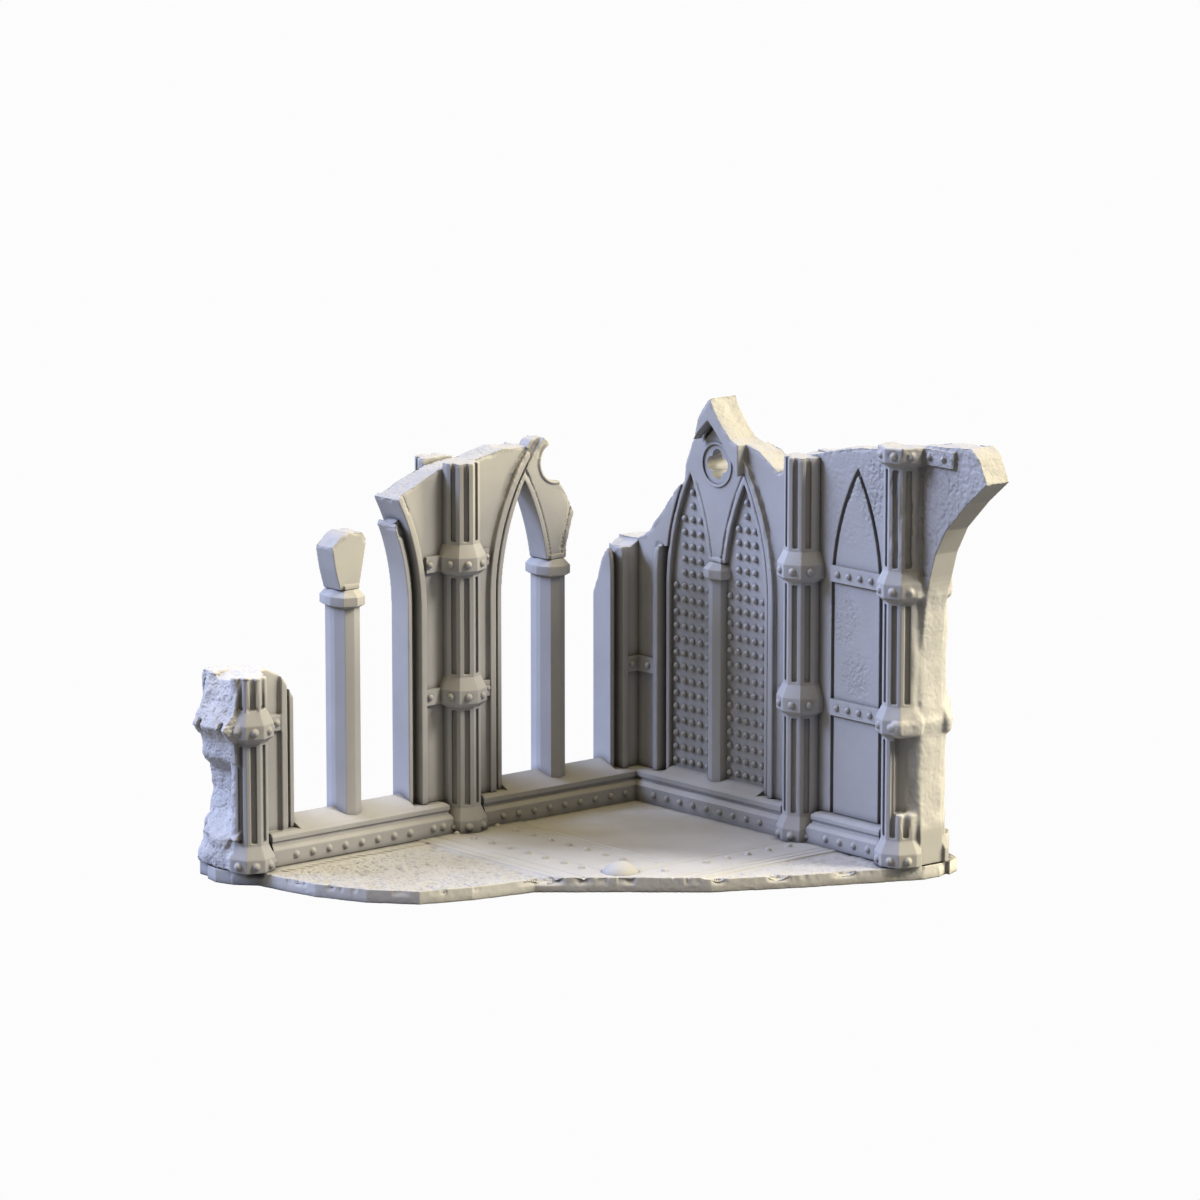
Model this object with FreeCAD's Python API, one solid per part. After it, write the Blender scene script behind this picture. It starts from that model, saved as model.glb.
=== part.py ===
import FreeCAD, Part
import math
import os

V = FreeCAD.Vector

# Corner of a ruined gothic hall, as a kit of parts for a tabletop gaming board.
# Two walls meet at a right angle on a broken floor slab.  Lengths are millimetres.
#
# Each wall is drawn in its own plane: "along" is the distance from the corner
# (negative, because both walls run away from it), "depth" is measured outwards from
# the centre plane of the inner half-columns, and height is above the table.
# Every wall is the same on its inner and outer face about MID_DEPTH.

# --- column and window positions along each wall -----------------------------------
BAY = 76.2
COLUMN_L2 = -66.1
COLUMN_L1 = COLUMN_L2 - BAY
COLUMN_R1 = -71.2
COLUMN_R2 = -112.2
WINDOW_A = COLUMN_L2 - BAY / 2
WINDOW_B = COLUMN_L2 + 37.2
WINDOW_C = COLUMN_R1 + 39.2
BLIND_D = -91.8

# --- depths ---------------------------------------------------------------------------
MID_DEPTH = 6.35
FAR_DEPTH = 2 * MID_DEPTH
CASING_FACE = 0.7
PANEL_FACE = 2.0
FRAME_FACE = 2.45
TONGUE_FACE = 4.2
STRAP_FACE = 1.0
HOOD_FACE = -1.2
HOOD_REAR = 9.0

# --- heights --------------------------------------------------------------------------
SLAB_TOP = 4.0
STRIP_TOP = 4.4
SKIRTING_RIVETS = 6.7
PLINTH_TOP = 13.0
SILL_RIDGE = 16.1
BELT_LEVELS = (43.9, 82.2, 120.1)
MULLION_TOP = 73.2
CAPITAL_TOP = 78.3

# --- window openings: half-widths from the window centre ---------------------------------
OPENING_HALF = 20.6
FRAME_HALF = 22.0
GROOVE_HALF = 24.0
CASING_HALF = 26.0
MAIN_SPRING = 70.0
MAIN_CENTRE = 42.6
LANCET_OFFSET = 11.7
LANCET_HALF = 8.9
LANCET_SPRING = 68.0
LANCET_CENTRE = 62.8
OCULUS_HEIGHT = 106.8
OCULUS_RADIUS = 5.8
MULLION_HALF = 3.66
MULLION_FRONT = 0.9
CAPITAL_GROW = 1.55

# --- columns --------------------------------------------------------------------------
SHAFT_RADIUS = 5.3
COLLAR_RADIUS = 7.1
COLLAR_BAND = 1.9
COLLAR_SLOPE = 3.6
COLLAR_UNDERCUT = 1.4
FLUTE_WIDTH = 1.6
FLUTE_DEPTH = 0.9

# --- rivets ---------------------------------------------------------------------------
BIG_RIVET = 1.15
SMALL_RIVET = 0.95
SKIRTING_PITCH = 5.79
STUD_RADIUS = 0.95
STUD_PITCH = 3.5
STUD_RISE = 4.0


# --- basic solids in the wall plane ---------------------------------------------------

def prism(outline, near, far):
    """Solid with an (along, height) outline between two depths."""
    corners = [V(a, near, h) for a, h in outline]
    face = Part.Face(Part.makePolygon(corners + corners[:1]))
    return face.extrude(V(0, far - near, 0))


def plan_prism(outline, bottom, top):
    """Solid with an (x, y) outline between two heights."""
    corners = [V(x, y, bottom) for x, y in outline]
    face = Part.Face(Part.makePolygon(corners + corners[:1]))
    return face.extrude(V(0, 0, top - bottom))


def block(a0, a1, near, far, bottom, top):
    return Part.makeBox(a1 - a0, far - near, top - bottom, V(a0, near, bottom))


def arch(centre, half, near, far, spring, reach, foot=PLINTH_TOP):
    """Pointed arch filled down to its foot; reach sets how tall the point is."""
    radius = reach + half
    rise = math.sqrt(radius ** 2 - reach ** 2)
    lean = math.atan2(rise, reach) / 2
    side = radius * math.cos(lean) - reach
    height = radius * math.sin(lean)
    left_foot = V(centre - half, near, foot)
    left_spring = V(centre - half, near, spring)
    left_mid = V(centre - side, near, spring + height)
    apex = V(centre, near, spring + rise)
    right_mid = V(centre + side, near, spring + height)
    right_spring = V(centre + half, near, spring)
    right_foot = V(centre + half, near, foot)
    edges = [
        Part.LineSegment(left_foot, left_spring).toShape(),
        Part.Arc(left_spring, left_mid, apex).toShape(),
        Part.Arc(apex, right_mid, right_spring).toShape(),
        Part.LineSegment(right_spring, right_foot).toShape(),
        Part.LineSegment(right_foot, left_foot).toShape(),
    ]
    return Part.Face(Part.Wire(edges)).extrude(V(0, far - near, 0))


def main_arch(centre, half, near=-1.0, far=15.0):
    return arch(centre, half, near, far, MAIN_SPRING, MAIN_CENTRE)


def lancet(centre, side, half, near=-1.0, far=15.0):
    middle = centre + side * LANCET_OFFSET
    return arch(middle, half, near, far, LANCET_SPRING, LANCET_CENTRE)


def blind_arch(half, near, far):
    return arch(BLIND_D, half, near, far, 78.0, 54.3)


def rear(shape):
    """The same piece on the outer face of the wall."""
    return shape.mirror(V(0, MID_DEPTH, 0), V(0, 1, 0))


def both_faces(shape):
    return [shape, rear(shape)]


def to_right_wall(shape):
    return shape.mirror(V(0, 0, 0), V(1, -1, 0))


def dome(a, depth, height, radius):
    return Part.makeSphere(radius, V(a, depth, height))


# --- columns and their belts ----------------------------------------------------------

def half_octagon(centre, radius, back):
    points = [(centre - radius, back)]
    for quarter in range(5):
        turn = math.radians(-90 + 45 * quarter)
        points.append((centre + radius * math.sin(turn), -radius * math.cos(turn)))
    points.append((centre + radius, back))
    return points


def ring_wire(centre, radius, height):
    corners = [V(a, d, height) for a, d in half_octagon(centre, radius, PANEL_FACE)]
    return Part.makePolygon(corners + corners[:1])


def collar_body(centre, level, undercut=True):
    """Half-octagon collar: bevel below, riveted band, sloping top."""
    band_bottom = level - COLLAR_BAND
    band_top = level + COLLAR_BAND
    band = plan_prism(half_octagon(centre, COLLAR_RADIUS, PANEL_FACE), band_bottom, band_top)
    wide = ring_wire(centre, COLLAR_RADIUS, band_top)
    narrow = ring_wire(centre, SHAFT_RADIUS, band_top + COLLAR_SLOPE)
    pieces = [Part.makeLoft([wide, narrow], True, True)]
    if undercut:
        narrow = ring_wire(centre, SHAFT_RADIUS, band_bottom - COLLAR_UNDERCUT)
        wide = ring_wire(centre, COLLAR_RADIUS, band_bottom)
        pieces.append(Part.makeLoft([narrow, wide], True, True))
    return band.multiFuse(pieces + collar_rivets(centre, level))


def collar_rivets(centre, level):
    reach = COLLAR_RADIUS * math.cos(math.radians(22.5)) - 0.2
    rivets = []
    for angle in (-67.5, -22.5, 22.5, 67.5):
        turn = math.radians(angle)
        a = centre + reach * math.sin(turn)
        rivets.append(dome(a, -reach * math.cos(turn), level, BIG_RIVET))
    return rivets


def flute(centre, angle, bottom, top):
    face = SHAFT_RADIUS * math.cos(math.radians(22.5))
    cut = block(-FLUTE_WIDTH / 2, FLUTE_WIDTH / 2, -face - 1, -face + FLUTE_DEPTH, bottom, top)
    cut.rotate(V(0, 0, 0), V(0, 0, 1), angle)
    cut.translate(V(centre, 0, 0))
    return cut


def column(centre, top, levels):
    """Fluted half-octagon shaft with its riveted base, up to a broken top."""
    shaft = plan_prism(half_octagon(centre, SHAFT_RADIUS, PANEL_FACE), SLAB_TOP, top)
    base_level = SLAB_TOP + COLLAR_BAND
    foot = base_level + COLLAR_BAND + COLLAR_SLOPE + 0.8
    flutes = []
    for level in list(levels) + [None]:
        if level is None:
            head = top + 1.0
        else:
            head = level - COLLAR_BAND - COLLAR_UNDERCUT - 0.8
        if head > foot:
            for angle in (-67.5, -22.5, 22.5, 67.5):
                flutes.append(flute(centre, angle, foot, head))
        if level is not None:
            foot = level + COLLAR_BAND + COLLAR_SLOPE + 0.8
    return shaft.cut(Part.makeCompound(flutes)).fuse(collar_body(centre, base_level, False))


def belt(centre, level, lower_end, upper_end, rivets, top):
    """Collar with the riveted straps that tie it to the wall on either side."""
    strap = block(lower_end, upper_end, STRAP_FACE, PANEL_FACE, level - 2.3, level + 2.3)
    heads = [dome(a, STRAP_FACE, level, SMALL_RIVET) for a in rivets]
    body = strap.multiFuse([collar_body(centre, level)] + heads)
    shaft = plan_prism(half_octagon(centre, SHAFT_RADIUS, PANEL_FACE), 0, 200)
    sky = block(lower_end - 1, upper_end + 1, -9, 12, top, 200)
    return body.cut(shaft).cut(sky)


# --- wall pieces ----------------------------------------------------------------------

def end_pier():
    """Pier at the free end, with rubble standing out between its two half-columns."""
    core = pier(END_PIER, (WINDOW_A,))
    rubble = prism(END_PIER, -1.5, FAR_DEPTH + 1.5).common(block(-160, -143.8, -9, 20, 0, 70))
    level = BELT_LEVELS[0]
    strap = block(-160, -140, STRAP_FACE, PANEL_FACE, level - 2.3, level + 2.3)
    for shape in (column(COLUMN_L1, 90, (level,)), collar_body(COLUMN_L1, level), strap):
        rubble = rubble.cut(shape).cut(rear(shape))
    return core.fuse(rubble)


def casing(outline, centre):
    """Raised strip that follows the window arch on both faces of a pier."""
    strip = main_arch(centre, CASING_HALF, CASING_FACE, PANEL_FACE)
    strip = strip.cut(main_arch(centre, GROOVE_HALF))
    strip = strip.common(prism(outline, CASING_FACE, PANEL_FACE))
    return both_faces(strip)


def pier(outline, windows):
    """Flat pier panel trimmed to the windows beside it, with their casings."""
    core = prism(outline, PANEL_FACE, FAR_DEPTH - PANEL_FACE)
    raised = []
    for centre in windows:
        core = core.cut(main_arch(centre, GROOVE_HALF))
        raised += casing(outline, centre)
    return core.multiFuse(raised)


def window_frame(centre):
    """Inner frame of a window with the tongue that lies behind the groove."""
    frame = main_arch(centre, FRAME_HALF, FRAME_FACE, FAR_DEPTH - FRAME_FACE)
    tongue = main_arch(centre, GROOVE_HALF, TONGUE_FACE, FAR_DEPTH - TONGUE_FACE)
    return frame.fuse(tongue)


def split_top(shape):
    """Take away the top of the stump by the corner, broken off lower on its outer side."""
    profile = [(1.9, 80.2), (5.1, 77.4), (6.8, 74.4), (8.5, 69), (11, 64), (20, 64), (20, 90), (1.9, 90)]
    corners = [V(-12, d, h) for d, h in profile]
    wedge = Part.Face(Part.makePolygon(corners + corners[:1])).extrude(V(10, 0, 0))
    return shape.cut(wedge)


def jamb(outline, centre):
    """What is left of a window frame whose tracery has gone."""
    frame = window_frame(centre).cut(main_arch(centre, OPENING_HALF))
    return frame.common(prism(outline, 0, FAR_DEPTH))


def oculus(centre, radius):
    return Part.makeCylinder(radius, 16, V(centre, -1, OCULUS_HEIGHT), V(0, 1, 0))


def foot_ledges(centre):
    """Narrow ledge across the foot of the tracery, just above the capital."""
    near = FRAME_FACE - 0.7
    return both_faces(block(centre - 2.6, centre + 2.6, near, FRAME_FACE, CAPITAL_TOP, CAPITAL_TOP + 1.2))


def tracery(centre):
    """Plate under the main arch, pierced by two lancets and a round eye."""
    plate = window_frame(centre)
    cuts = [lancet(centre, side, LANCET_HALF) for side in (-1, 1)]
    cuts.append(oculus(centre, OCULUS_RADIUS))
    cuts.append(block(centre - 4.0, centre + 4.0, -1, 15, 0, CAPITAL_TOP))
    for side in (-1, 1):
        outer = lancet(centre, side, LANCET_HALF + 1.9, FRAME_FACE - 1, FRAME_FACE + 0.4)
        inner = lancet(centre, side, LANCET_HALF + 1.4)
        cuts += both_faces(outer.cut(inner))
    return plate.cut(Part.makeCompound(cuts)).multiFuse(foot_ledges(centre))


def eye_ring(centre):
    """Low flat moulding round the eye, one on each face."""
    middle = V(centre, FRAME_FACE - 0.4, OCULUS_HEIGHT)
    ring = Part.makeCylinder(OCULUS_RADIUS + 0.8, 0.4, middle, V(0, 1, 0))
    ring = ring.cut(oculus(centre, OCULUS_RADIUS))
    return both_faces(ring)


def mullion_outline(centre, grow=0.0):
    """Octagon in plan, a little longer than wide and pointed towards each face."""
    reach = MID_DEPTH - MULLION_FRONT + grow
    half = MULLION_HALF + grow
    nose = [(-half, -reach * 0.17), (-half * 0.73, grow * 0.2 - reach * 0.84), (0, -reach),
            (half * 0.73, grow * 0.2 - reach * 0.84), (half, -reach * 0.17)]
    tail = [(a, -d) for a, d in reversed(nose)]
    return [(centre + a, MID_DEPTH + d) for a, d in nose + tail]


def mullion(centre):
    return plan_prism(mullion_outline(centre), PLINTH_TOP, MULLION_TOP)


def capital_ring(centre, grow, height):
    corners = [V(a, d, height) for a, d in mullion_outline(centre, grow)]
    return Part.makePolygon(corners + corners[:1])


def capital(centre):
    """Octagonal cap: undercut, upright band and sloping top."""
    foot = capital_ring(centre, 0.3, MULLION_TOP)
    low = capital_ring(centre, CAPITAL_GROW, MULLION_TOP + 0.7)
    high = capital_ring(centre, CAPITAL_GROW, MULLION_TOP + 3.1)
    head = capital_ring(centre, -0.4, CAPITAL_TOP)
    band = Part.makeLoft([low, high], True, True)
    lower = Part.makeLoft([foot, low], True, True)
    upper = Part.makeLoft([high, head], True, True)
    return band.multiFuse([lower, upper])


def stud_panel(centre, side):
    """Blind lancet filled with a plate of round-headed studs."""
    inner = centre + side * MULLION_HALF
    outer = centre + side * (LANCET_OFFSET + LANCET_HALF)
    near, far = 4.0, FAR_DEPTH - 4.0
    plate = lancet(centre, side, LANCET_HALF, near, far)
    plate = plate.cut(mullion(centre)).cut(capital(centre)).cut(sill(centre))
    studs = []
    for rank in range(5):
        a = inner + side * (1.1 + STUD_PITCH * rank)
        if abs(a - centre) > abs(outer - centre) - 0.5:
            a = outer - side * 1.1
        for row in range(22):
            height = PLINTH_TOP + 4.0 + STUD_RISE * row
            if stud_fits(a, height, centre + side * LANCET_OFFSET):
                studs += both_faces(dome(a, near - 0.2, height, STUD_RADIUS))
    return plate.multiFuse(studs)


def stud_fits(a, height, middle):
    """True when a stud head clears the lancet arch and the capital."""
    across = abs(a - middle)
    room = LANCET_HALF - 1.0
    if height > LANCET_SPRING:
        radius = LANCET_CENTRE + room
        climb = height - LANCET_SPRING
        if climb > radius - 1:
            return False
        room = math.sqrt(radius ** 2 - climb ** 2) - LANCET_CENTRE
    return across <= room and not (abs(height - 76.3) < 3.5 and across > LANCET_HALF - 2.6)


def quatrefoil(centre):
    """Disc inside the eye, pierced by four overlapping round lobes."""
    face = FRAME_FACE + 0.2
    middle = V(centre, face, OCULUS_HEIGHT)
    disc = Part.makeCylinder(OCULUS_RADIUS, FAR_DEPTH - 2 * face, middle, V(0, 1, 0))
    holes = [Part.makeCylinder(1.5, 16, V(centre, -1, OCULUS_HEIGHT), V(0, 1, 0))]
    for turn in range(4):
        a = centre + 2.3 * math.cos(math.pi / 2 * turn)
        h = OCULUS_HEIGHT + 2.3 * math.sin(math.pi / 2 * turn)
        holes.append(Part.makeCylinder(2.15, 16, V(a, -1, h), V(0, 1, 0)))
    return disc.cut(holes[0].multiFuse(holes[1:]))


# --- plinths --------------------------------------------------------------------------

def plinth_profile():
    """Half section from the floor up to the sill, (depth, height)."""
    half = [
        (-3.2, SLAB_TOP), (-3.2, 8.7), (-2.4, 9.6), (-1.6, 10.0), (-1.6, 10.6),
        (-2.0, 11.0), (-2.0, 12.3), (-0.6, PLINTH_TOP),
    ]
    return half + [(FAR_DEPTH - d, h) for d, h in reversed(half)]


def plinth_rail(a0, a1):
    corners = [V(a0, d, h) for d, h in plinth_profile()]
    return Part.Face(Part.makePolygon(corners + corners[:1])).extrude(V(a1 - a0, 0, 0))


def sill(centre):
    """Sloping sill across the opening, highest in the middle of the wall."""
    profile = [(-0.6, PLINTH_TOP), (MID_DEPTH, SILL_RIDGE), (FAR_DEPTH + 0.6, PLINTH_TOP)]
    corners = [V(centre - OPENING_HALF, d, h) for d, h in profile]
    wedge = Part.Face(Part.makePolygon(corners + corners[:1])).extrude(V(2 * OPENING_HALF, 0, 0))
    return wedge.cut(mullion(centre))


def column_seat(centre):
    """Room that the base of a column takes out of the plinth on both faces."""
    seat = plan_prism(half_octagon(centre, COLLAR_RADIUS, PANEL_FACE), 0, 60)
    return both_faces(seat.multiFuse(collar_rivets(centre, SLAB_TOP + COLLAR_BAND)))


def broken_end(a0, a1):
    """Faces of the plinth that have fallen away beyond the last column."""
    return both_faces(block(a0, a1, -9, PANEL_FACE, 0, 60))


def plinth(a0, a1, columns, first_rivet, count, extra=(), open_end=False):
    """Moulded rail along the foot of a bay, with a row of skirting rivets."""
    rail = plinth_rail(a0, a1)
    if open_end:
        for corner in broken_end(a0 - 1, columns[-1] - 5.5):
            rail = rail.cut(corner)
    for centre in columns:
        for seat in column_seat(centre):
            rail = rail.cut(seat)
    rivets = []
    for a in [first_rivet - SKIRTING_PITCH * n for n in range(count)] + list(extra):
        rivets += both_faces(dome(a, -3.1, SKIRTING_RIVETS, SMALL_RIVET))
    return rail.multiFuse(rivets)


# --- outlines of what has survived ------------------------------------------------------

END_PIER = [
    (-120, 13), (-149, 13), (-146.6, 15.5), (-143.4, 19.5), (-142, 24.5), (-143, 30.5), (-148, 35),
    (-148.5, 40.5), (-152, 44.5), (-148.8, 49), (-147.4, 54), (-146, 57.6), (-137.5, 59),
    (-134, 59.6), (-130.4, 57.6), (-127.4, 54.8), (-125.4, 51.6), (-120, 49),
]
PIER_L2 = [
    (-40, 13), (-90, 13), (-92, 100), (-87, 103), (-81, 105.5), (-73, 109), (-66, 110),
    (-59, 110.7), (-49, 112.7), (-42.5, 112.3), (-40, 112.6),
]
JAMB_A_LEFT = [
    (-120, 13), (-130, 13), (-130.4, 57.6), (-127.4, 54.8), (-125.4, 51.6), (-124, 48.8), (-120, 48),
]
JAMB_A_RIGHT = [(-80, 13), (-90, 13), (-90, 90), (-88, 95), (-80, 98)]
TRACERY_B = [
    (-56, 13), (-45, 13), (-45, 70), (-34, 72), (-24.2, 78.3), (-23.8, 84), (-21.6, 90.6),
    (-24.8, 96.5), (-27.6, 100.5), (-31, 108), (-32, 113), (-33.5, 114.3), (-37, 113.6),
    (-43, 112.8), (-56, 112),
]
JAMB_B_RIGHT = [(-9, 13), (-3, 13), (-3, 79), (-9, 79)]
CORNER_PIER = [(-9, 13), (2, 13), (2, 80.2), (-1, 78.6), (-4, 79.2), (-9, 79)]
SPRINGER_A = [
    (-3.6, 78.3), (3.0, 78.3), (4.6, 86), (5.8, 92), (4.2, 94.2), (-0.5, 94.6), (-3.4, 93),
    (-6.4, 90.8), (-5.2, 84),
]
WALL_C_NEAR = [
    (-45, 13), (-71.2, 13), (-71.2, 114.6), (-64, 113.4), (-61.2, 111.6), (-60.4, 108.2),
    (-58.5, 107.9), (-54, 110.8), (-50.5, 113), (-45, 114.2),
]
WALL_C_FAR = [
    (2, 13), (-20, 13), (-20, 99.8), (-16.8, 99.2), (-14, 96.8), (-10.3, 92.4), (-7, 88.2),
    (-0.5, 82), (2, 81),
]
CROWN_C = [
    (-45, 100), (-45, 114.2), (-41.5, 115.8), (-37.4, 119.8), (-34.6, 123.4), (-33, 126.6),
    (-31.0, 125.2), (-28.0, 120.8), (-26.0, 115), (-24.0, 109.5), (-30, 108),
]
TRACERY_C = [
    (-8, 13), (-60, 13), (-60, 108), (-36, 122), (-28, 122), (-23.7, 116), (-20.7, 111.2),
    (-18.3, 105.6), (-17.7, 100.2), (-15.8, 99.2), (-11.4, 95), (-8, 90.4),
]
EDGE_C = [
    (-26, 100.2), (-17.7, 100.2), (-18.3, 105.6), (-20.9, 111.4), (-23.6, 116), (-26.6, 119.6),
    (-28.4, 119.6), (-26, 112),
]
WALL_D = [
    (-71.2, 13), (-112.2, 13), (-112.2, 121.5), (-101, 119.8), (-94, 119.3), (-86.5, 118),
    (-76, 115.6), (-71.2, 114.4),
]
END_STUB = [
    (-112.2, 13), (-118.5, 13), (-117.8, 30), (-118.3, 48), (-117.6, 62), (-119.2, 76),
    (-120.2, 82), (-121.1, 86), (-123.2, 93), (-127.2, 100.2), (-135.4, 108.5), (-143, 114.8),
    (-141.4, 118.5), (-139.8, 121.5), (-136.6, 124.2), (-120, 123), (-112.2, 121.5),
]
SLAB = [
    (15.9, 15.9), (-144.5, 15.9), (-148.2, 12), (-149.2, 7), (-147.5, 1.5), (-142.6, -4.4),
    (-140.8, -15), (-138.8, -25), (-132, -39.4), (-122.5, -50.6), (-108.2, -56.2), (-89.3, -60),
    (-70.7, -75.9), (-52.1, -91.8), (-29.9, -103.8), (-12.3, -111.9), (3, -118.8), (9, -119.4),
    (13.2, -117.6), (15.9, -114.5),
]


# --- the pieces -----------------------------------------------------------------------

def strip_plate(x0, x1, y0, y1, lengthways, crossways):
    """Thin floor plate scored with narrow lines, trimmed to the broken slab."""
    plate = block(x0, x1, y0, y1, SLAB_TOP, STRIP_TOP)
    score = STRIP_TOP - 0.3
    for a in lengthways:
        plate = plate.cut(block(a - 0.3, a + 0.3, y0 - 1, y1 + 1, score, 10))
    for d in crossways:
        plate = plate.cut(block(x0 - 1, x1 + 1, d - 0.3, d + 0.3, score, 10))
    return plate.common(plan_prism(SLAB, 0, 10))


def floor_rivet(x, y):
    return dome(x, y, STRIP_TOP, 0.95)


def floor_strips(slab, boss):
    """Two scored plates: one across the hall from the left wall, one along its open side."""
    crossing, wall_foot = -69.0, -3.2
    first, pitch = -5.0, 7.9
    left = strip_plate(-85.0, -47.6, crossing, wall_foot, (-82.8, -78.6, -69.4, -51.8, -49.6), ())
    left_heads = [floor_rivet(x, first - pitch * n) for n in range(8) for x in (-72.4, -57.3)]
    right = strip_plate(-85.0, wall_foot, -90.0, crossing, (), (-71.0, -73.2, -84.8, -87.6))
    right_heads = [floor_rivet(-10.7 - 7.75 * n, -78.0) for n in (0, 1, 2, 3, 4, 6)]
    left = left.multiFuse(left_heads).cut(slab).cut(boss)
    for seat in column_seat(COLUMN_L2):
        left = left.cut(seat)
    right = right.multiFuse(right_heads).cut(slab).cut(boss).cut(to_right_wall(column_seat(COLUMN_R1)[0]))
    return left, right


def slab_lobes():
    """Feet of the slab under the outer half-columns."""
    lobes = []
    for centre in (COLUMN_L1, COLUMN_L2):
        lobe = rear(plan_prism(half_octagon(centre, COLLAR_RADIUS, 0), 0, SLAB_TOP))
        lobes.append(lobe.common(block(-146.5, 0, 0, 40, 0, SLAB_TOP)))
    for centre in (COLUMN_R1, COLUMN_R2):
        lobe = rear(plan_prism(half_octagon(centre, COLLAR_RADIUS, 0), 0, SLAB_TOP))
        lobes.append(to_right_wall(lobe))
    return lobes


def floor_pieces():
    slab = plan_prism(SLAB, 0, SLAB_TOP)
    boss = Part.makeSphere(6.0, V(-66.7, -70.1, SLAB_TOP - 2.8))
    boss = boss.common(block(-80, -50, -90, -50, SLAB_TOP, 20))
    left_strip, right_strip = floor_strips(slab, boss)
    return {
        "floor_slab": slab.multiFuse(slab_lobes()),
        "floor_strip_left": left_strip,
        "floor_strip_right": right_strip,
        "floor_boss": boss,
    }


def break_r2(name, inner):
    """The last column is gouged out low down and sheared off obliquely above that."""
    back = PANEL_FACE
    if name == "column_r2":
        gouge = [
            (-125, -9), (-114.2, -9), (-114.2, -4.5), (-112.6, -2.2), (-115, -0.2), (-118.3, back),
            (-125, back),
        ]
        shear = [(-125, -9), (-113.7, -9), (-118.3, back), (-125, back)]
        return inner.cut(plan_prism(gouge, 19, 43.5)).cut(plan_prism(shear, 43.5, 81))
    if name == "belt_r2_1":
        return inner.cut(plan_prism([(-125, -9), (-116, -9), (-119, back), (-125, back)], 30, 60))
    return inner


def shear_plane(reach, bottom, top):
    """Everything beyond an oblique upright plane across the outer side of the wall."""
    return plan_prism([(-135, 10), (10 - reach, 10), (30 - reach, 30), (-135, 30)], bottom, top)


def shear_r2(name, outer):
    """The break cuts the outer side of the last column, less deeply along its belts."""
    if not name.endswith("r2"):
        return outer
    deep = shear_plane(129.6, SLAB_TOP, 112)
    for level in (SLAB_TOP + COLLAR_BAND,) + BELT_LEVELS[:2]:
        deep = deep.cut(block(-140, -90, 5, 35, level - 3.4, level + 5.6))
    return outer.cut(deep).cut(shear_plane(131.4, SLAB_TOP, 112))


def crumble_l1(name, outer):
    """The outer column at the free end has crumbled back to the ragged line of the pier."""
    if not name.endswith("l1"):
        return outer
    ragged = [(-160, 4)] + [(a, h) for a, h in END_PIER[1:12]] + [(-146, 70), (-160, 70)]
    return outer.cut(prism(ragged, FAR_DEPTH - PANEL_FACE, 30))


def column_pieces():
    pieces = {}
    ends = {
        "l1": (COLUMN_L1, 59.0, 1, False, {0: (-149.5, -130.2, (-131.8,))}),
        "l2": (COLUMN_L2, 111.0, 2, False, {
            0: (-78.2, -54.9, (-77, -56)),
            1: (-78.0, -55.2, (-77, -56.2)),
        }),
        "r1": (COLUMN_R1, 114.5, 2, True, {0: (-78.3, -60.0, (-61.5,)), 1: (-78.3, -60.3, (-61.7,))}),
        "r2": (COLUMN_R2, 122.5, 3, True, {2: (-131.0, -105.0, (-121.5, -127.0))}),
    }
    for name, (centre, top, count, on_right, straps) in ends.items():
        levels = BELT_LEVELS[:count]
        place = to_right_wall if on_right else Part.Shape.copy
        shaft = column(centre, top, levels)
        pieces["column_%s_inner" % name] = place(break_r2("column_" + name, shaft))
        back = rear(shaft.common(block(-200, 0, -20, 20, 0, 116)) if name == "r2" else shaft)
        pieces["column_%s_outer" % name] = place(crumble_l1(name, shear_r2(name, back)))
        outer_belts = []
        for n, level in enumerate(levels):
            spread = COLLAR_RADIUS - 0.1
            lower, upper, rivets = straps.get(n, (centre - spread, centre + spread, ()))
            hoop = belt(centre, level, lower, upper, rivets, top)
            label = "belt_%s_%d" % (name, n + 1)
            pieces[label + "_inner"] = place(break_r2(label, hoop))
            if level < 116:
                outer_belts.append(crumble_l1(name, shear_r2(name, rear(hoop))))
        pieces["belts_%s_outer" % name] = place(Part.makeCompound(outer_belts))
    return pieces


def left_wall_pieces():
    ring = Part.makeCompound(eye_ring(WINDOW_B))
    keep = prism(TRACERY_B, 0, FAR_DEPTH)
    frame_b = tracery(WINDOW_B).fuse(ring).common(keep)
    springer = prism([(WINDOW_A + a, h) for a, h in SPRINGER_A], FRAME_FACE, FAR_DEPTH - FRAME_FACE)
    springer = springer.multiFuse(foot_ledges(WINDOW_A))
    return {
        "plinth_bay_a": plinth(-149, COLUMN_L2, (COLUMN_L2, COLUMN_L1), -88.0, 8, (-79.5, -76), True),
        "plinth_bay_b": plinth(COLUMN_L2, 5, (COLUMN_L2,), -7.4, 9).cut(to_right_wall(corner_plinth())),
        "sill_a": sill(WINDOW_A),
        "sill_b": sill(WINDOW_B),
        "end_pier": end_pier(),
        "pier_between_windows": pier(PIER_L2, (WINDOW_A, WINDOW_B)),
        "corner_pier": split_top(pier(CORNER_PIER, (WINDOW_B,))),
        "jamb_a_left": jamb(JAMB_A_LEFT, WINDOW_A),
        "jamb_a_right": jamb(JAMB_A_RIGHT, WINDOW_A),
        "jamb_b_right": split_top(jamb(JAMB_B_RIGHT, WINDOW_B)),
        "tracery_b": frame_b,
        "mullion_a": mullion(WINDOW_A),
        "mullion_b": mullion(WINDOW_B),
        "capital_a": capital(WINDOW_A),
        "capital_b": capital(WINDOW_B),
        "springer_a": springer,
    }


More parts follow.
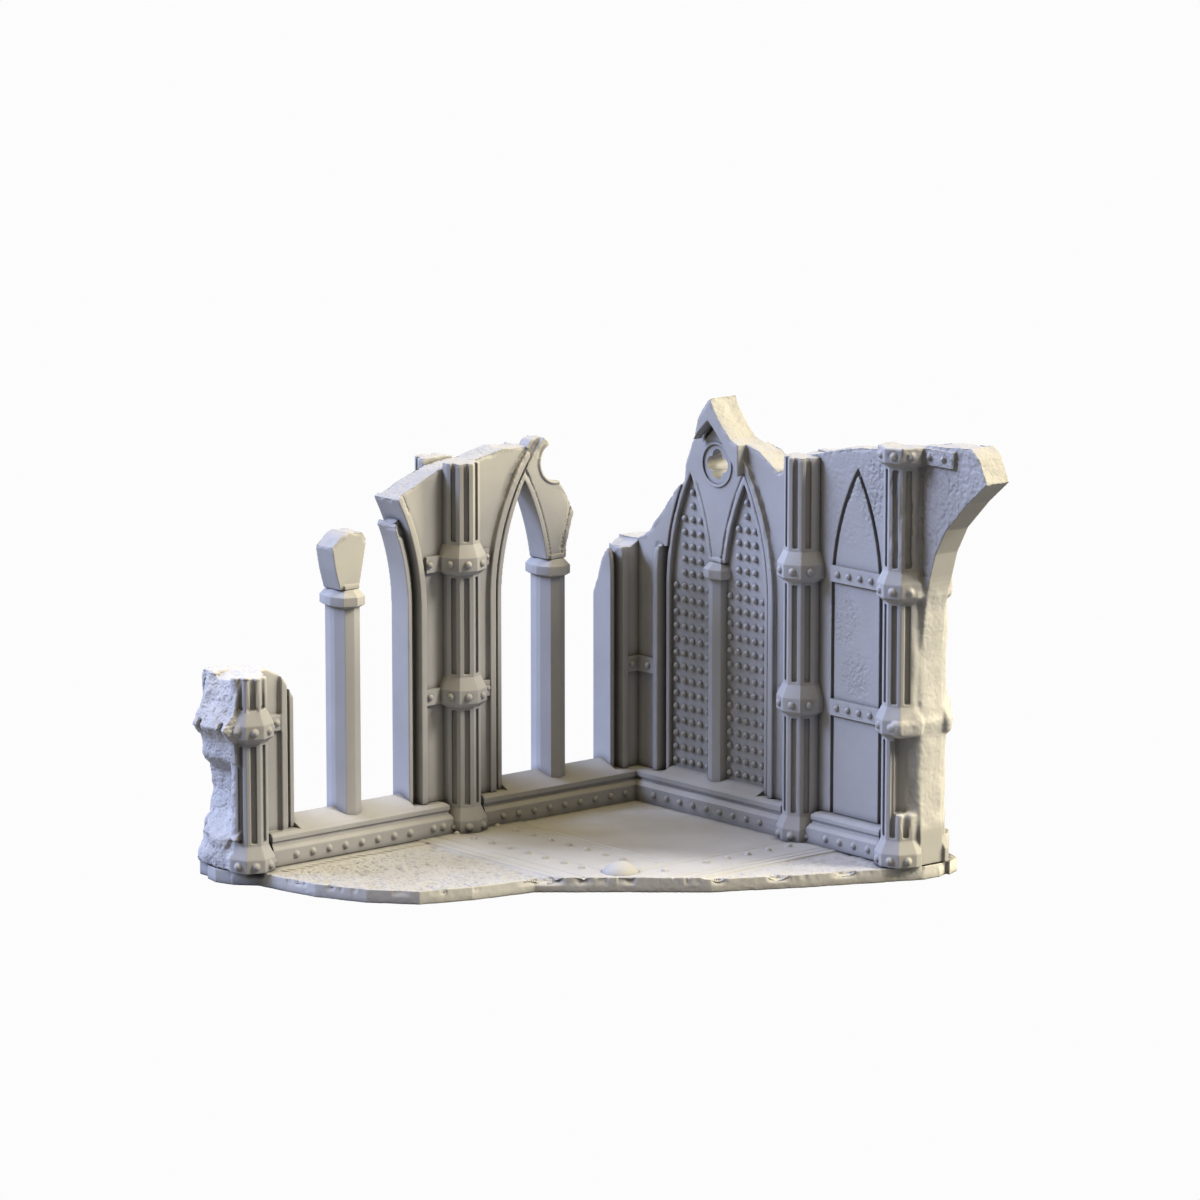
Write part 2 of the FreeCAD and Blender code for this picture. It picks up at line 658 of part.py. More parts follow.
def right_wall_pieces():
    pieces = {
        "plinth_bay_c": corner_plinth(),
        "plinth_bay_d": plinth(-118.5, COLUMN_R1, (COLUMN_R1, COLUMN_R2), -85.3, 4, (), True),
        "wall_c_near": pier(WALL_C_NEAR, (WINDOW_C,)),
        "wall_c_far": wall_c_far(),
        "gable_crown": gable_crown(),
        "tracery_c": tracery(WINDOW_C).common(prism(TRACERY_C, 0, FAR_DEPTH)).fuse(edge_c()),
        "eye_rings_c": Part.makeCompound(eye_ring(WINDOW_C)),
        "stud_panel_c_near": stud_panel(WINDOW_C, -1),
        "stud_panel_c_far": stud_panel(WINDOW_C, 1),
        "quatrefoil_c": quatrefoil(WINDOW_C),
        "mullion_c": mullion(WINDOW_C),
        "capital_c": capital(WINDOW_C),
        "sill_c": sill(WINDOW_C),
        "wall_d": blind_bay(),
        "end_stub": prism(END_STUB, PANEL_FACE, FAR_DEPTH - PANEL_FACE),
        "strap_d_lower": bay_strap(BELT_LEVELS[0]),
        "strap_d_upper": bay_strap(BELT_LEVELS[1]),
    }
    return {name: to_right_wall(shape) for name, shape in pieces.items()}


def corner_plinth():
    """Plinth of the blind window, which also runs under the corner post."""
    return plinth(COLUMN_R1, 15.9, (COLUMN_R1,), -11.2, 9)


def wall_c_far():
    """Wall between the blind window and the corner; higher up the groove and casing stop."""
    stop = block(-40, 5, -5, 20, 80, 130)
    low = pier(WALL_C_FAR, (WINDOW_C,)).cut(stop)
    high = prism(WALL_C_FAR, PANEL_FACE, FAR_DEPTH - PANEL_FACE).common(stop)
    high = high.cut(main_arch(WINDOW_C, FRAME_HALF)).cut(window_frame(WINDOW_C))
    return low.fuse(high)


def edge_c():
    """Broken rim of wall still joined to the tracery on the corner side."""
    rim = prism(EDGE_C, FRAME_FACE, FAR_DEPTH - FRAME_FACE)
    return rim.cut(lancet(WINDOW_C, 1, LANCET_HALF)).cut(oculus(WINDOW_C, OCULUS_RADIUS + 0.8))


def gable_crown():
    """Hood left standing over the point of the blind window."""
    hood = prism(CROWN_C, HOOD_FACE, HOOD_REAR)
    hood = hood.cut(main_arch(WINDOW_C, FRAME_HALF + 1.0, -5, 18))
    return hood.cut(window_frame(WINDOW_C)).cut(edge_c())


def blind_bay():
    """Solid bay with a lancet drawn on each face as a narrow groove."""
    wall = prism(WALL_D, PANEL_FACE, FAR_DEPTH - PANEL_FACE)
    line = blind_arch(10.5, PANEL_FACE - 1, PANEL_FACE + 1.2)
    line = line.cut(blind_arch(9.2, -1, 15))
    return wall.cut(Part.makeCompound(both_faces(line)))


def bay_strap(level):
    strap = block(-105.0, -82.0, STRAP_FACE, PANEL_FACE, level - 2.3, level + 2.3)
    strap = strap.multiFuse([dome(-84.9 - 4.57 * n, STRAP_FACE, level, SMALL_RIVET) for n in range(4)])
    return Part.makeCompound(both_faces(strap))


def corner_strap():
    level = BELT_LEVELS[0]
    left = block(-2.9, PANEL_FACE, STRAP_FACE, PANEL_FACE, level - 2.3, level + 2.3)
    right = to_right_wall(block(-6.0, PANEL_FACE, STRAP_FACE, PANEL_FACE, level - 2.3, level + 2.3))
    heads = [dome(-1.2, STRAP_FACE, level, SMALL_RIVET)]
    heads.append(to_right_wall(dome(-3.6, STRAP_FACE, level, SMALL_RIVET)))
    return left.multiFuse([right] + heads)


def all_pieces():
    pieces = floor_pieces()
    pieces.update(left_wall_pieces())
    pieces.update(right_wall_pieces())
    pieces.update(column_pieces())
    pieces["corner_strap"] = corner_strap()
    rear_face = FAR_DEPTH - PANEL_FACE
    pieces["corner_post"] = block(PANEL_FACE, rear_face, PANEL_FACE, rear_face, PLINTH_TOP, 81)
    return pieces


def write(pieces):
    os.makedirs("parts", exist_ok=True)
    box = Part.makeCompound(list(pieces.values())).BoundBox
    move = V(-(box.XMin + box.XMax) / 2, -(box.YMin + box.YMax) / 2, -box.ZMin)
    print("size", round(box.XLength, 2), round(box.YLength, 2), round(box.ZLength, 2), "move", move)
    for name, shape in pieces.items():
        shape.translate(move)
        print(name, len(shape.Solids), round(shape.Volume, 1), shape.isValid())
        shape.exportStep("parts/%s.step" % name)


write(all_pieces())
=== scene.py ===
import bpy
import bmesh
import math
import numpy as np
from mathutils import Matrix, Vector, noise
from mathutils.bvhtree import BVHTree


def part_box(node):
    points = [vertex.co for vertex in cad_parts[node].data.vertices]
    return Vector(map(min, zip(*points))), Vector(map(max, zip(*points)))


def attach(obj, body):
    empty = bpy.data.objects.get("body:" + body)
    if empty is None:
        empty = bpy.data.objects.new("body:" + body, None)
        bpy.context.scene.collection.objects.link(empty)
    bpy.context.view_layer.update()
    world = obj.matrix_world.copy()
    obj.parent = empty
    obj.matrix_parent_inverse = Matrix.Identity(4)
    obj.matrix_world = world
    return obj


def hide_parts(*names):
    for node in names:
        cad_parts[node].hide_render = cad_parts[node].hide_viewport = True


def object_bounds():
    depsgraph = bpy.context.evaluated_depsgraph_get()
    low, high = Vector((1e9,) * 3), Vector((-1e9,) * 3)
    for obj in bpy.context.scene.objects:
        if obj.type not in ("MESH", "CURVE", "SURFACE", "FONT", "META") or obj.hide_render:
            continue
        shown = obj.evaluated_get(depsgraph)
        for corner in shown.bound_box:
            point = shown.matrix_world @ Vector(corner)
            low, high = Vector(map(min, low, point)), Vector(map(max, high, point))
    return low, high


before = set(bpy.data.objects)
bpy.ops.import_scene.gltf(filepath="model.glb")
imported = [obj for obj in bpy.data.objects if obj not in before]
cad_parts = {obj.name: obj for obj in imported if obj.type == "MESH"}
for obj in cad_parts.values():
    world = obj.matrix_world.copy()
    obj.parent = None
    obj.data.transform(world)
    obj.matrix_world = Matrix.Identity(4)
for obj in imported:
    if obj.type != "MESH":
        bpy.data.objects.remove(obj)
cad_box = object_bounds()

MM = 0.001

# The corner where the two walls' inner column planes meet, on the table.
# The corner post stands 2 mm outside both planes and 13 mm above the table.
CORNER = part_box("corner_post")[0] - Vector((2, 2, 13)) * MM

CAMERA_AZIMUTH = -40.42
CAMERA_ELEVATION = 10.64
CAMERA_LENS = 169.93
CAMERA_PLACE = CORNER + Vector((-1064.4, -1232.9, 368.9)) * MM

# Places along the walls and levels that the wear rules share, in millimetres.
WALL_MIDDLE = 6.35
BELT_LEVEL = 43.9
EYE_B = (-28.9, 106.8)
SLAB_TOP = 4.0
EDGE_ROUNDING = 0.13
NO_FRACTURE = 99.0


# --- materials ------------------------------------------------------------------------

def node(tree, kind, **values):
    """New shader node; each value sets a property of the node or else an input."""
    made = tree.nodes.new(kind)
    for key, value in values.items():
        if hasattr(made, key):
            setattr(made, key, value)
        else:
            made.inputs[key].default_value = value
    return made


def resin(name, tone, grain=0.35, pits=0.0):
    """Matte cast resin: uneven tone, paler worn edges, painted light on fractures, painted shade in
    hollows, fine grain.
    """
    mat = bpy.data.materials.new(name)
    mat.use_nodes = True
    tree = mat.node_tree
    link = tree.links.new
    shader = tree.nodes["Principled BSDF"]
    shader.inputs["Specular IOR Level"].default_value = 0.22
    place = node(tree, "ShaderNodeTexCoord")
    cloud = node(tree, "ShaderNodeTexNoise", Scale=70.0, Detail=5.0, Roughness=0.6)
    speck = node(tree, "ShaderNodeTexNoise", Scale=1500.0, Detail=3.0, Roughness=0.7)
    fine = node(tree, "ShaderNodeTexNoise", Scale=4200.0, Detail=2.0, Roughness=0.6)
    for texture in (cloud, speck, fine):
        link(place.outputs["Object"], texture.inputs["Vector"])
    mottle = node(tree, "ShaderNodeValToRGB")
    mottle.color_ramp.elements[0].position = 0.30
    mottle.color_ramp.elements[1].position = 0.72
    mottle.color_ramp.elements[0].color = [c * 0.93 for c in tone] + [1]
    mottle.color_ramp.elements[1].color = [min(1, c * 1.05) for c in tone] + [1]
    link(cloud.outputs["Fac"], mottle.inputs["Fac"])
    # Painted shade: ambient occlusion darkens the colour in hollows, grooves and corners, where shade
    # falls.
    hollow = node(tree, "ShaderNodeAmbientOcclusion", samples=8, Distance=0.0025)
    shade = node(tree, "ShaderNodeMapRange")
    shade.inputs["From Min"].default_value = 0.25
    shade.inputs["From Max"].default_value = 0.95
    shade.inputs["To Min"].default_value = 0.28
    shade.inputs["To Max"].default_value = 1.0
    link(hollow.outputs["AO"], shade.inputs["Value"])
    edge = node(tree, "ShaderNodeNewGeometry")
    worn = node(tree, "ShaderNodeMapRange")
    worn.inputs["From Min"].default_value = 0.52
    worn.inputs["From Max"].default_value = 0.62
    worn.inputs["To Min"].default_value = 0.0
    worn.inputs["To Max"].default_value = 0.30
    link(edge.outputs["Pointiness"], worn.inputs["Value"])
    # Painted light: this attribute pales fractures and rubble, standing in for light from above that
    # the lamps do not give.
    fracture = node(tree, "ShaderNodeAttribute", attribute_name="painted_light")
    painted_light_mix = node(tree, "ShaderNodeMix", data_type="RGBA")
    painted_light_mix.inputs["B"].default_value = [min(0.8, c * 1.3) for c in tone] + [1]
    link(fracture.outputs["Fac"], painted_light_mix.inputs["Factor"])
    link(mottle.outputs["Color"], painted_light_mix.inputs["A"])
    # The painted shade is multiplied into the colour here.
    painted_shade = node(tree, "ShaderNodeMix", data_type="RGBA", blend_type="MULTIPLY")
    painted_shade.inputs["Factor"].default_value = 1.0
    link(painted_light_mix.outputs["Result"], painted_shade.inputs["A"])
    link(shade.outputs["Result"], painted_shade.inputs["B"])
    pale = node(tree, "ShaderNodeMix", data_type="RGBA")
    pale.inputs["B"].default_value = [min(1, c * 1.22) for c in tone] + [1]
    link(worn.outputs["Result"], pale.inputs["Factor"])
    link(painted_shade.outputs["Result"], pale.inputs["A"])
    link(pale.outputs["Result"], shader.inputs["Base Color"])
    dull = node(tree, "ShaderNodeMapRange")
    dull.inputs["To Min"].default_value = 0.52
    dull.inputs["To Max"].default_value = 0.70
    link(speck.outputs["Fac"], dull.inputs["Value"])
    link(dull.outputs["Result"], shader.inputs["Roughness"])
    bump = node(tree, "ShaderNodeBump", Distance=0.00006)
    bump.inputs["Strength"].default_value = grain
    link(fine.outputs["Fac"], bump.inputs["Height"])
    last = bump
    if pits:
        pit = node(tree, "ShaderNodeTexVoronoi", Scale=900.0)
        link(place.outputs["Object"], pit.inputs["Vector"])
        deep = node(tree, "ShaderNodeBump", Distance=0.00012)
        deep.inputs["Strength"].default_value = pits
        link(pit.outputs["Distance"], deep.inputs["Height"])
        link(last.outputs["Normal"], deep.inputs["Normal"])
        last = deep
    link(last.outputs["Normal"], shader.inputs["Normal"])
    return mat


SMOOTH = resin("smooth_resin", (0.375, 0.375, 0.38))
FLOOR = resin("floor_resin", (0.43, 0.43, 0.43), grain=0.5, pits=0.15)


# --- turning CAD nodes into cast pieces --------------------------------------------------

def copy_of(names, label):
    """One welded mesh from one or more CAD nodes."""
    shape = bmesh.new()
    for name in names:
        shape.from_mesh(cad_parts[name].data)
    bmesh.ops.remove_doubles(shape, verts=shape.verts, dist=2e-6)
    mesh = bpy.data.meshes.new(label)
    shape.to_mesh(mesh)
    shape.free()
    piece = bpy.data.objects.new(label, mesh)
    bpy.context.scene.collection.objects.link(piece)
    return piece


def bake_modifiers(piece):
    """Replace the mesh by what the modifiers make of it."""
    graph = bpy.context.evaluated_depsgraph_get()
    made = bpy.data.meshes.new_from_object(piece.evaluated_get(graph))
    piece.modifiers.clear()
    old = piece.data
    piece.data = made
    bpy.data.meshes.remove(old)


def fused(names, label):
    """One solid from nodes that lie on each other, with no faces left inside it."""
    piece = copy_of(names[:1], label)
    for name in names[1:]:
        upper = copy_of([name], name + "_upper")
        join = piece.modifiers.new("join", "BOOLEAN")
        join.operation = "UNION"
        join.solver = "EXACT"
        join.object = upper
        bake_modifiers(piece)
        bpy.data.objects.remove(upper)
    return piece


def settle(piece, names, material, sharp=None):
    """Smooth shading (facets kept above the sharp angle), material and body."""
    piece.data.materials.clear()
    piece.data.materials.append(material)
    piece.data.shade_smooth()
    if sharp:
        piece.data.set_sharp_from_angle(angle=math.radians(sharp))
    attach(piece, "root")
    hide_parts(*names)
    return piece


def crisp(name, material):
    """An undamaged piece: its flat faces kept, its edges slightly rounded."""
    piece = copy_of([name], name + "_cast")
    flat = piece.modifiers.new("flat", "DECIMATE")
    flat.decimate_type = "DISSOLVE"
    flat.angle_limit = math.radians(0.5)
    bevel = piece.modifiers.new("edge", "BEVEL")
    bevel.width = EDGE_ROUNDING * MM
    bevel.segments = 2
    bevel.limit_method = "ANGLE"
    bevel.angle_limit = math.radians(16)
    bake_modifiers(piece)
    return settle(piece, [name], material, sharp=14)


def smoothstep(x):
    x = min(1.0, max(0.0, x))
    return x * x * (3 - 2 * x)


def place_of(co):
    """Millimetres from the inner corner of the walls."""
    return (co - CORNER) / MM


def broken_tree(mesh, is_broken):
    """The faces of the solid that are fracture surfaces, for measuring distances."""
    corners = [v.co.copy() for v in mesh.vertices]
    faces = []
    for face in mesh.polygons:
        if is_broken(place_of(face.center), face.normal):
            faces.append(tuple(face.vertices))
    return BVHTree.FromPolygons(corners, faces) if faces else None


def melt(mesh, weights, rounds):
    """Blend the weighted part of a skin so that separate shapes flow into each other."""
    edges = np.empty(len(mesh.edges) * 2, np.int32)
    mesh.edges.foreach_get("vertices", edges)
    a, b = edges.reshape(-1, 2).T
    co = np.empty(len(mesh.vertices) * 3, np.float32)
    mesh.vertices.foreach_get("co", co)
    co = co.reshape(-1, 3)
    degree = np.bincount(a, minlength=len(co)) + np.bincount(b, minlength=len(co))
    share = (weights / np.maximum(degree, 1))[:, None]
    for _ in range(rounds):
        total = np.zeros_like(co)
        for axis in range(3):
            total[:, axis] = np.bincount(a, co[b, axis], len(co)) + np.bincount(b, co[a, axis], len(co))
        co += share * (total - degree[:, None] * co) * 0.8
    mesh.vertices.foreach_set("co", co.reshape(-1))
    mesh.update()


def ragged(p, relief, crumbs):
    """Height of a broken surface at p, in mm: broad facets and small crumbs."""
    lump = noise.fractal(p / 6.5 + Vector((3.1, 0.4, 7.7)), 1.0, 2.1, 2)
    pit = abs(noise.fractal(p / 1.7, 0.8, 2.1, 2))
    crumb = noise.noise(p / 0.7)
    return relief * (0.7 * lump) - crumbs * (0.55 * pit + 0.16 * crumb)


def weathered(label, names, is_broken, relief=0.8, crumbs=0.35, reach=0.9, voxel=0.24,
              face_rule=None, melting=None, rounds=30, material=SMOOTH, far=0.0, painted_light_strength=0.1,
              joined=False):
    """A damaged piece: dense skin with worn fractures that nibble at the edges beside them.

    is_broken(p, normal) picks the fracture faces.  relief and crumbs set their height, and
    reach how far the wear runs past them.  melting(p) is where shapes flow into each other.
    face_rule(p, normal, gap) adds its own relief; gap is how far the fracture is, up to far.
    chalk is how much painted light pales the fracture, standing in for light from above; joined is for
    thin nodes lying on a larger one.
    All lengths are millimetres.
    """
    piece = fused(names, label) if joined else copy_of(names, label)
    tree = broken_tree(piece.data, is_broken)
    skin = piece.modifiers.new("skin", "REMESH")
    skin.mode = "VOXEL"
    skin.voxel_size = voxel * MM
    bake_modifiers(piece)
    mesh = piece.data
    if melting:
        melt(mesh, np.array([melting(place_of(v.co)) for v in mesh.vertices]), rounds)
    count = len(mesh.vertices)
    co = np.empty(count * 3, np.float32)
    normal = np.empty(count * 3, np.float32)
    mesh.vertices.foreach_get("co", co)
    mesh.vertex_normals.foreach_get("vector", normal)
    co = co.reshape(-1, 3)
    normal = normal.reshape(-1, 3)
    painted_light = np.zeros(count, np.float32)
    search = max(reach * 1.8 + 0.3, far) * MM
    for i in range(count):
        spot = Vector(co[i])
        p = place_of(spot)
        lift = 0.0
        gap = NO_FRACTURE
        if tree is not None:
            near = tree.find_nearest(spot, search)
            if near[0] is not None:
                gap = near[3] / MM
                span = reach * (1.0 + 0.8 * noise.noise(p / 2.2))
                weight = smoothstep(1.2 - gap / span)
                # Painted light: the fracture is paled in colour, standing in for light from above.
                painted_light[i] = painted_light_strength * weight
                lift += weight * (ragged(p, relief, crumbs) - 0.08 * relief)
        if melting:
            # Painted light: the melted rubble is paled in the same way.
            painted_light[i] = max(painted_light[i], 0.8 * melting(p))
        if face_rule:
            lift += face_rule(p, Vector(normal[i]), gap)
        if lift:
            co[i] += normal[i] * (lift * MM)
    co[:, 2] = np.maximum(co[:, 2], cad_box[0][2])
    mesh.vertices.foreach_set("co", co.reshape(-1))
    mesh.attributes.new("painted_light", "FLOAT", "POINT").data.foreach_set("value", painted_light)
    mesh.update()
    return settle(piece, names, material)


# --- where each piece is broken -----------------------------------------------------------

def top_above(height):
    """Rule for a piece that is broken only along its top."""
    return lambda p, n: n.z > 0.12 and p.z > height


def tracery_b_break(p, n):
    """Broken rim of the tracery, but not the moulding round its eye."""
    if abs(n.y) > 0.3:
        return False
    from_eye = math.hypot(p.x - EYE_B[0], p.z - EYE_B[1])
    return p.z > 79 and from_eye > 6.2 and (n.z > 0.3 and p.z > 100 or p.x > -27.2)


def wall_c_break(p, n):
    """Ragged top of the blind window's wall, and the gable's edge on the corner side."""
    return n.z > 0.12 and p.z > 79 and abs(n.x) < 0.5 or (n.y > 0.25 and p.z > 99.9 and p.y > -29)


def wall_d_break(p, n):
    return n.z > 0.12 and p.z > 105 and abs(n.x) < 0.5


def stub_break(p, n):
    """Top of the right end, and the tip of its springing; the soffit below is whole."""
    tip = p.y < -113 and n.y < -0.1 and n.z > -0.05 and p.z > 95
    return abs(n.x) < 0.6 and (tip or n.z > 0.12 and p.z > 105)


def rubble(p):
    """How far into the crumbled free end of the left wall: 0 intact, 1 rubble."""
    edge = -143.2 + 2.8 * math.exp(-((p.z - 25) / 8.0) ** 2) + 0.5 * noise.noise(p / 3.0)
    if p.y < WALL_MIDDLE:
        front = -0.7 - 3.6 * math.exp(-((p.z - BELT_LEVEL - 0.6) / 3.5) ** 2)
        return smoothstep((p.y - front) / 1.2) * smoothstep((edge - p.x) / 1.2)
    return smoothstep((edge - 0.3 - p.x) / 1.4)


def left_end_wear(p):
    """The rubble, and the softened head of the broken half-columns."""
    return max(rubble(p), 0.45 * smoothstep((p.z - 53) / 4))


def rubble_relief(p, n, gap):
    """Lumps and fine pits of the rubble."""
    weight = rubble(p)
    if weight <= 0:
        return 0.0
    lump = noise.fractal(p / 5.0, 0.9, 2.0, 2)
    pit = abs(noise.fractal(p / 1.3, 0.8, 2.1, 2))
    return weight * (0.45 * lump - 0.34 * pit + 0.05)


def sheared(p):
    """How far into the worn break at the end of the right wall."""
    if p.x < 3:
        edge = -115.4 if p.z < 46 else -117.6
    else:
        edge = -117.0 + 0.8 * (max(p.x, 11) - 11)
    fade = smoothstep((86 - p.z) / 6) * smoothstep((p.z - 13.5) / 3)
    return smoothstep((edge + 1.0 - p.y) / 1.4) * fade


def stub_face(p, n, gap):
    """Cracked stone beside the last column; a worn ledge and low lumps on the break itself."""
    if n.x < -0.5 and p.z > 86 and p.y < -117:
        crack = abs(noise.fractal(Vector((p.x, p.y, p.z / 2.2)) / 3.6, 0.9, 2.1, 3))
        pit = abs(noise.fractal(p / 2.4, 0.8, 2.1, 2))
        return -1.1 * smoothstep(0.26 - crack) - 0.3 * pit
    worn = sheared(p)
    if worn > 0.2:
        rise = p.z - BELT_LEVEL - 0.6
        ledge = math.exp(-(rise / (1.6 if rise > 0 else 3.4)) ** 2)
        lump = noise.fractal(p / 8.0, 1.0, 2.0, 2)
        return worn * (0.7 * ledge + 0.4 * lump - 0.12 * abs(noise.fractal(p / 2.2, 0.8, 2.1, 2)))
    return 0.0


def near_oval(p, y, z, half_y, half_z):
    """1 inside an oval patch on the right wall, fading out past its edge."""
    return smoothstep(1.5 - math.hypot((p.y - y) / half_y, (p.z - z) / half_z))


def pitted(p, n, gap):
    """Patches of shallow pits on the inner face of the narrow bay."""
    if n.x > -0.6 or p.z < 46:
        return 0.0
    patch = max(near_oval(p, -86.5, 70, 6, 8), near_oval(p, -92, 54, 6, 7),
                near_oval(p, -99, 108, 9, 11), 0.35 * smoothstep((p.z - 86) / 6), 0.15)
    patch *= 0.75 + 0.6 * noise.noise(p / 4.0)
    pit = abs(noise.fractal(p / 2.2, 0.7, 2.1, 3))
    return -0.7 * patch * smoothstep(0.45 - pit)


def wall_pieces():
    """Every wall piece that has a fracture; the last numbers are relief, crumbs, reach, voxel."""
    # The left end's broken tops and rubble get full-strength painted light.
    weathered("left_end_cast",
              ["end_pier", "plinth_bay_a", "column_l1_inner", "column_l1_outer", "belt_l1_1_inner",
               "belts_l1_outer"],
              top_above(50), 0.9, 0.35, 0.8, 0.22, rubble_relief, left_end_wear, 30, painted_light_strength=1.0)
    weathered("jamb_a_left_cast", ["jamb_a_left"], top_above(49), 0.6, 0.3)
    weathered("pier_l2_cast", ["pier_between_windows"], top_above(99), 0.7, 0.45, 1.1)
    weathered("jamb_a_right_cast", ["jamb_a_right"], top_above(92), 0.7, 0.45, 1.1)
    weathered("tracery_b_cast", ["tracery_b"], tracery_b_break, 0.6, 0.3)
    weathered("springer_a_cast", ["springer_a"], top_above(89), 0.9, 0.15)
    weathered("corner_pier_cast", ["corner_pier", "corner_post"], top_above(75), 0.7, 0.3)
    weathered("jamb_b_right_cast", ["jamb_b_right"], top_above(64), 0.6, 0.2)
    weathered("wall_c_near_cast", ["wall_c_near", "gable_crown"], wall_c_break, 0.9, 0.35, 1.0)
    weathered("wall_c_far_cast", ["wall_c_far"], wall_c_break, 0.7, 0.4, 1.0)
    weathered("tracery_c_cast", ["tracery_c"], wall_c_break, 0.4, 0.2, 0.6, 0.22)
    weathered("wall_d_cast", ["wall_d"], wall_d_break, 0.9, 0.5, 1.2, face_rule=pitted)
    weathered("right_end_cast",
              ["end_stub", "column_r2_inner", "column_r2_outer", "belts_r2_outer", "belt_r2_1_inner",
               "belt_r2_2_inner", "belt_r2_3_inner", "plinth_bay_d"],
              stub_break, 0.7, 0.25, 0.8, 0.22, stub_face, sheared, 24)


def column_pieces():
    """The two half-columns that stand whole up to their broken tops."""
    for name, top in {"l2": 109, "r1": 111}.items():
        for side in ("inner", "outer"):
            node_name = "column_%s_%s" % (name, side)
            weathered(node_name + "_cast", [node_name], top_above(top), 0.6, 0.3, 0.7, 0.22)


def floor_pieces():
    """Slab and strips in one skin, so that a chip in the edge goes through both."""
    # The broken slab edge gets full-strength painted light.
    weathered("floor_cast", ["floor_slab", "floor_strip_left", "floor_strip_right"], slab_break,
              0.15, 0.05, 0.5, 0.25, face_rule=slab_face, material=FLOOR, far=4.0, painted_light_strength=1.0,
              joined=True)


def slab_break(p, n):
    """The open side of the slab, below the strips that lie on it."""
    side = abs(n.z) < 0.3 and p.z < SLAB_TOP - 0.5
    return side and (p.x < 14 and p.y < 3 and p.x + p.y < -90 or p.y < -116)


def chipping(p):
    """Where chips have come off the broken edge: a few wide ones and many small ones."""
    along = Vector((p.x, p.y, 1.7))
    wide = smoothstep(2.0 * noise.noise(along / 6.5) - 0.2)
    small = smoothstep(2.4 * noise.noise(along / 2.6) - 0.3)
    return max(wide, 0.25 * small) * smoothstep(14 - p.x)


def slab_face(p, n, gap):
    """Chips along the broken edge, and the worn surface of the flagstones."""
    if n.z < 0.7:
        if gap > 1.6:
            return 0.0
        rough = abs(noise.fractal(p / 2.6, 0.8, 2.1, 2))
        return -1.3 * chipping(p) * smoothstep((p.z - 1.8) / 1.6) - 0.08 * rough
    depth = flagstone(p) + seam(p)
    if gap < 4:
        chip = chipping(p)
        depth += 1.5 * chip * smoothstep(1 - gap / (0.6 + 2.0 * chip))
    return -depth


def flagstone(p):
    """Depth of the rough stone in front; the tile in the corner is nearly smooth."""
    rough = smoothstep((-p.x - 85) / 2) * smoothstep((-p.y - 8.5) / 3)
    rough = max(rough, 0.5 * smoothstep((-p.y - 89.5) / 3))
    stone = abs(noise.fractal(Vector((p.x, p.y, 5)) / 3.6, 0.7, 2.1, 3))
    slope = noise.noise(Vector((p.x, p.y, 9)) / 9.0)
    grit = noise.noise(p / 1.1)
    return 0.04 + rough * (0.25 + 0.95 * stone + 0.35 * slope + 0.08 * grit) + 0.03 * grit


def seam(p):
    """Line of short slanting gouges along the foot of the left wall."""
    if not -137 < p.x < -84:
        return 0.0
    band = smoothstep(1.3 - abs(p.y + 7.2 + 0.8 * noise.noise(p / 9.0)) / 1.3)
    tick = smoothstep(math.sin(2.2 * (p.x + 0.7 * p.y)) * 1.6)
    return 0.9 * band * tick * (0.5 + max(0.0, noise.noise(p / 7.0) + 0.3))


wall_pieces()
column_pieces()
floor_pieces()
for name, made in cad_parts.items():
    if not made.hide_render:
        crisp(name, FLOOR if name.startswith("floor") else SMOOTH)


# --- stage ------------------------------------------------------------------------------

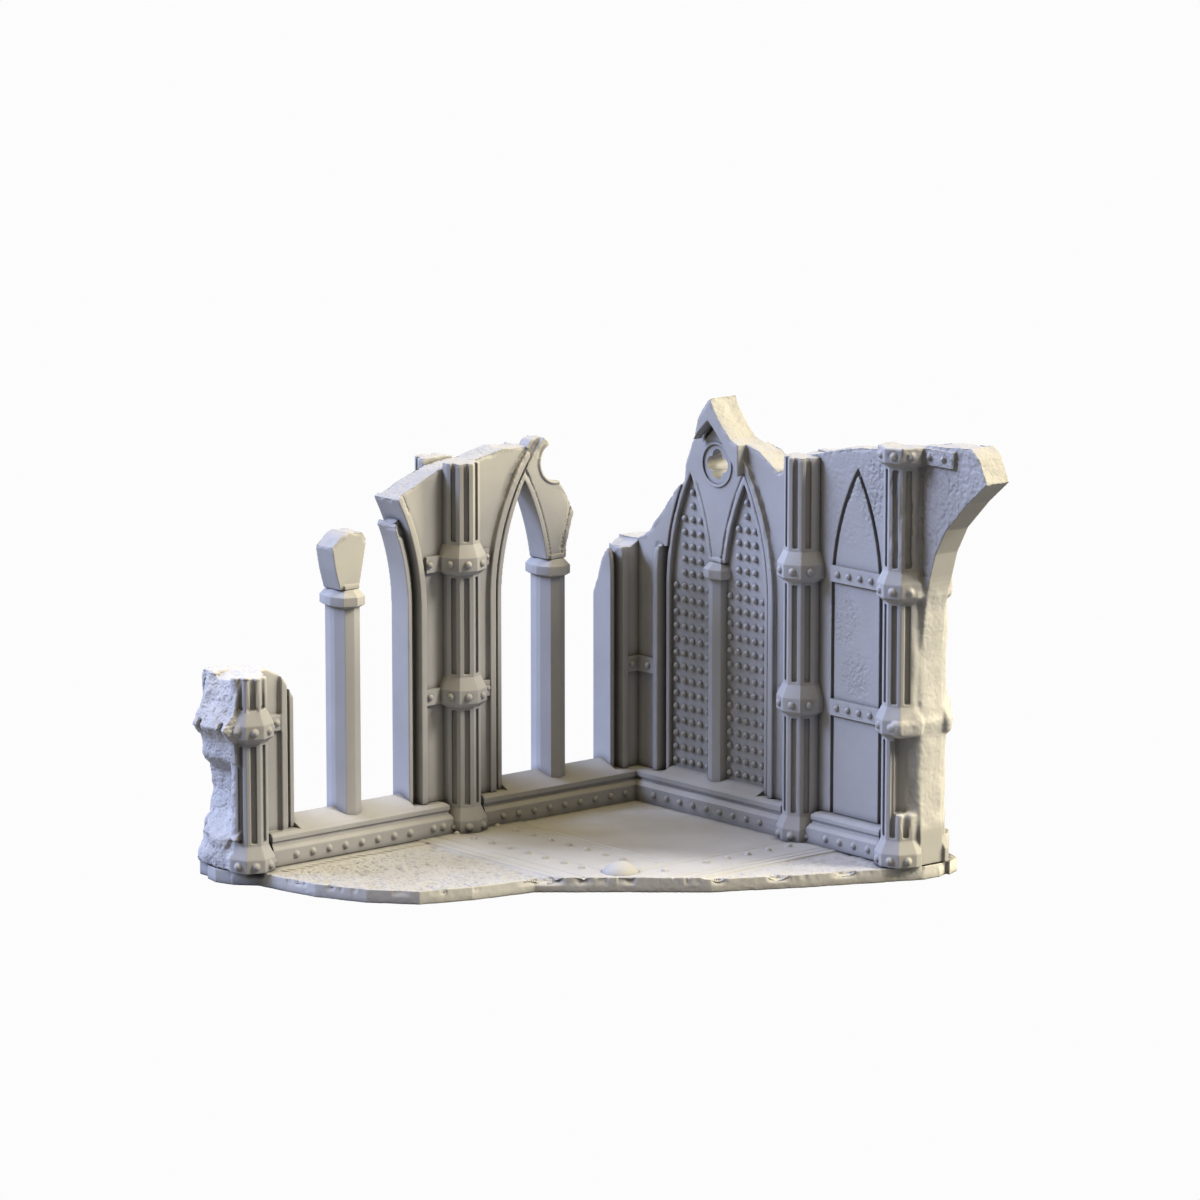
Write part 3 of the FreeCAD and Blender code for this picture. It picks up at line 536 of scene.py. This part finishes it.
def stage_floor():
    """Pale floor: evenly lit to the camera, dark enough to throw little light back up."""
    bpy.ops.mesh.primitive_plane_add(size=16, location=(CORNER.x, CORNER.y, -0.0002))
    floor = bpy.context.object
    floor.name = "studio_floor"
    mat = bpy.data.materials.new("studio_floor")
    mat.use_nodes = True
    tree = mat.node_tree
    tree.nodes.clear()
    matte = node(tree, "ShaderNodeBsdfDiffuse", Color=(0.15, 0.15, 0.15, 1))
    glow = node(tree, "ShaderNodeEmission", Color=(0.975, 0.975, 0.975, 1))
    path = node(tree, "ShaderNodeLightPath")
    mix = node(tree, "ShaderNodeMixShader")
    out = node(tree, "ShaderNodeOutputMaterial")
    tree.links.new(path.outputs["Is Camera Ray"], mix.inputs[0])
    tree.links.new(matte.outputs[0], mix.inputs[1])
    tree.links.new(glow.outputs[0], mix.inputs[2])
    tree.links.new(mix.outputs[0], out.inputs["Surface"])
    floor.data.materials.append(mat)


def aim(azimuth, elevation):
    """Unit vector towards a place in the sky; azimuth 0 is in front of the left wall."""
    a, e = math.radians(azimuth), math.radians(elevation)
    return Vector((math.sin(a) * math.cos(e), -math.cos(a) * math.cos(e), math.sin(e)))


def sun(name, azimuth, elevation, colour, softness):
    """Distant lamp; colour is its strength in each channel, softness its width in degrees."""
    data = bpy.data.lights.new(name, "SUN")
    data.energy = max(colour)
    data.color = [c / max(colour) for c in colour]
    data.angle = math.radians(softness)
    lamp = bpy.data.objects.new(name, data)
    toward = aim(azimuth, elevation)
    lamp.rotation_mode = "QUATERNION"
    lamp.rotation_quaternion = toward.to_track_quat("Z", "Y")
    lamp.location = toward
    bpy.context.scene.collection.objects.link(lamp)


def lights():
    """Warm light from the front right, soft cool light from the left and behind."""
    sun("warm_key", 40, 42, (3.63, 3.36, 2.87), 15)
    sun("warm_low", 60, 20, (3.95, 3.45, 2.11), 15)
    sun("cool_side", -125, 32, (1.42, 1.61, 2.46), 20)
    sun("cool_back", -150, 35, (2.11, 2.50, 3.65), 40)
    sun("overhead", 0, 78, (1.51, 1.18, 0.52), 50)
    world = bpy.data.worlds.new("studio")
    world.use_nodes = True
    world.node_tree.nodes["Background"].inputs["Color"].default_value = (1, 1, 1, 1)
    world.node_tree.nodes["Background"].inputs["Strength"].default_value = 0.09
    bpy.context.scene.world = world


def camera():
    """Long lens from the front left, a little above the walls."""
    data = bpy.data.cameras.new("camera")
    data.lens = CAMERA_LENS
    data.sensor_width = 36
    data.clip_start = 0.05
    data.clip_end = 30
    cam = bpy.data.objects.new("camera", data)
    cam.rotation_mode = "QUATERNION"
    cam.rotation_quaternion = (-aim(CAMERA_AZIMUTH, CAMERA_ELEVATION)).to_track_quat("-Z", "Y")
    cam.location = CAMERA_PLACE
    bpy.context.scene.collection.objects.link(cam)
    bpy.context.scene.camera = cam


stage_floor()
lights()
camera()
bpy.context.scene.view_settings.view_transform = "Standard"
